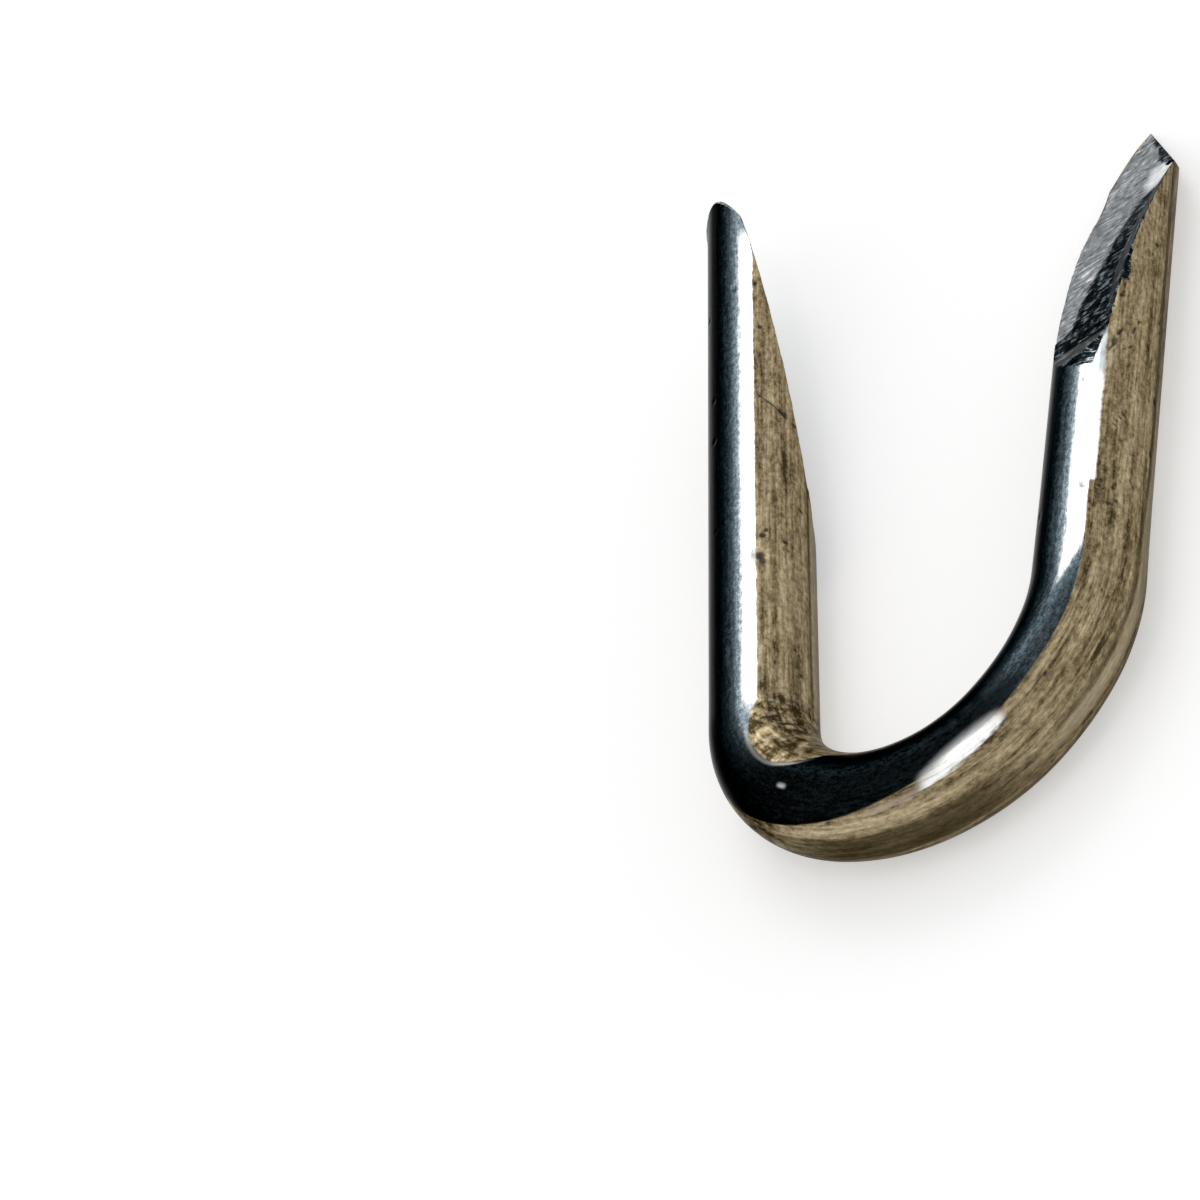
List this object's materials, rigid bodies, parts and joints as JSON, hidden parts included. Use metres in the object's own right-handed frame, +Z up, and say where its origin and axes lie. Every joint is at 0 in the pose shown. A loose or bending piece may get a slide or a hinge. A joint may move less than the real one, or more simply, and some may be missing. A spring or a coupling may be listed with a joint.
{
  "type": "fence staple",
  "caption": "U-shaped fence staple of bright round steel wire with slash-cut points, hammered into a post to hold fence wire.",
  "frame": {"origin": "middle of the footprint, on the surface that the staple lies on", "axes": "+Y along the staple from the crown towards the points, +Z up, square to the plane of the U, +X across the legs"},
  "size_m": [0.0203, 0.0371, 0.004],
  "materials": {
    "steel_wire": "bright drawn wire, glossy, with fine die lines along it"
  },
  "bodies": {
    "root": {"staple": "steel_wire"}
  },
  "joints": []
}
